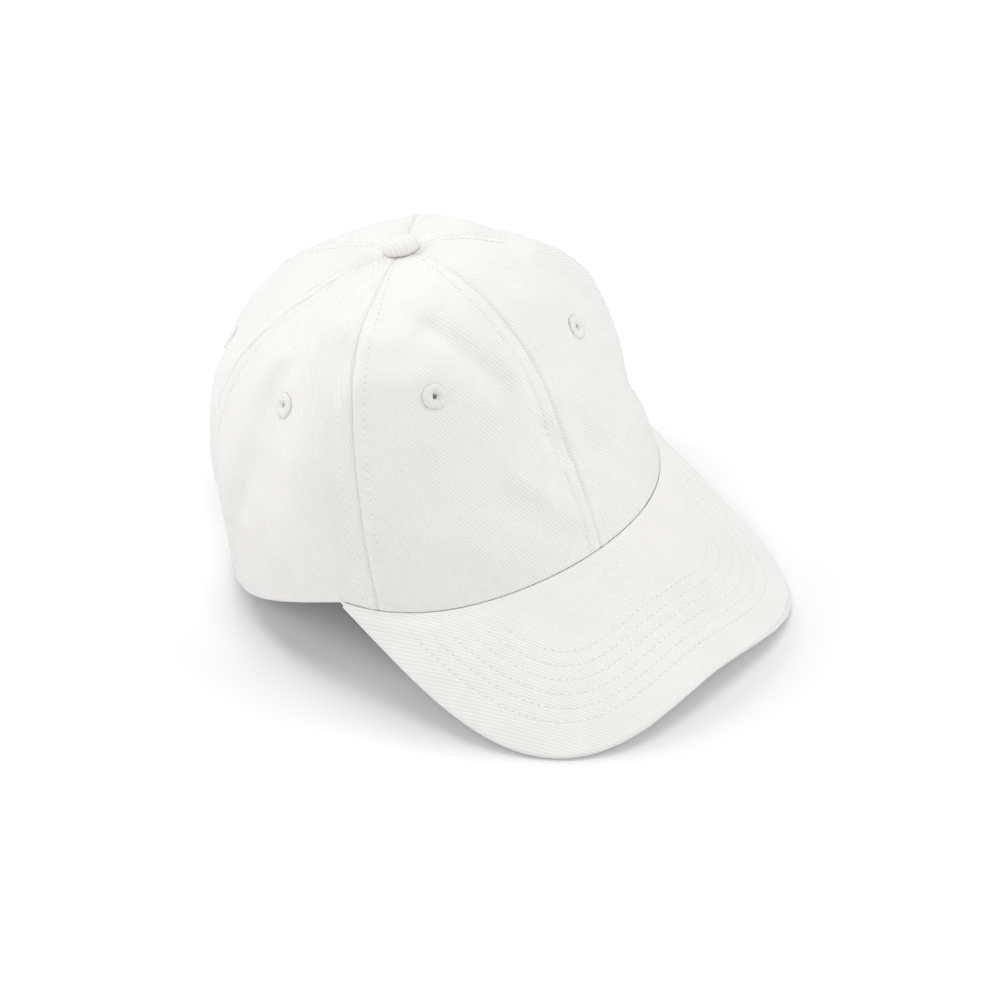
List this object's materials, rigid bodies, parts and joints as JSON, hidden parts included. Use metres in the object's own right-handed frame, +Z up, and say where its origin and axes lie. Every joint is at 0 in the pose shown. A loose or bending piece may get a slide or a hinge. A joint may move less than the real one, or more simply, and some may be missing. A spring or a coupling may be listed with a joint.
{
  "type": "baseball cap",
  "caption": "Soft unstructured baseball cap in plain white cotton twill with stitched eyelets, a covered top button, a curved stitched visor and a cloth back strap with a metal buckle.",
  "frame": {"origin": "centre of the bounding box at its base, on the table the cap stands on", "axes": "+Z up; the visor points towards -Y; the wearer's left is +X and the wearer's right is -X"},
  "size_m": [0.192, 0.2424, 0.1423],
  "materials": {
    "cotton_twill": "washed cotton twill, matte",
    "embroidery_thread": "satin-stitched thread",
    "seam_tape": "plain-woven tape",
    "sweatband_cotton": "cotton twill, matte",
    "label_satin": "satin ribbon",
    "visor_plastic": "polyethylene sheet",
    "antique_brass": "antique plated, satin",
    "zinc_steel": "zinc plated"
  },
  "bodies": {
    "cap": {"crown_panel_front_right": "cotton_twill", "crown_panel_side_right": "cotton_twill", "crown_panel_back_right": "cotton_twill", "crown_panel_front_left": "cotton_twill", "crown_panel_side_left": "cotton_twill", "crown_panel_back_left": "cotton_twill", "eyelet_front_right": "embroidery_thread", "eyelet_side_right": "embroidery_thread", "eyelet_back_right": "embroidery_thread", "eyelet_front_left": "embroidery_thread", "eyelet_side_left": "embroidery_thread", "eyelet_back_left": "embroidery_thread", "seam_tape_front": "seam_tape", "seam_tape_front_left": "seam_tape", "seam_tape_back_left": "seam_tape", "seam_tape_back": "seam_tape", "seam_tape_back_right": "seam_tape", "seam_tape_front_right": "seam_tape", "top_button": "cotton_twill", "top_button_rivet": "zinc_steel", "visor_top_cover": "cotton_twill", "visor_board": "visor_plastic", "visor_under_cover": "cotton_twill", "sweatband": "sweatband_cotton", "care_label": "label_satin", "opening_binding": "cotton_twill", "buckle_frame": "antique_brass", "buckle_pin": "zinc_steel", "buckle_tab": "cotton_twill"},
    "strap": {"strap": "cotton_twill"},
    "buckle_lever": {"buckle_lever": "antique_brass"}
  },
  "joints": [
    {"name": "strap_slide", "type": "hinge", "parent": "cap", "child": "strap", "pos_m": [0, 0.0057, 0.02445], "axis": [0, 0.2538, 0.9673], "range_deg": [-4, 8]},
    {"name": "buckle_lever_hinge", "type": "hinge", "parent": "cap", "child": "buckle_lever", "pos_m": [-0.00614, 0.10954, 0.01065], "axis": [0, -0.2538, -0.9673], "range_deg": [0, 100]}
  ]
}
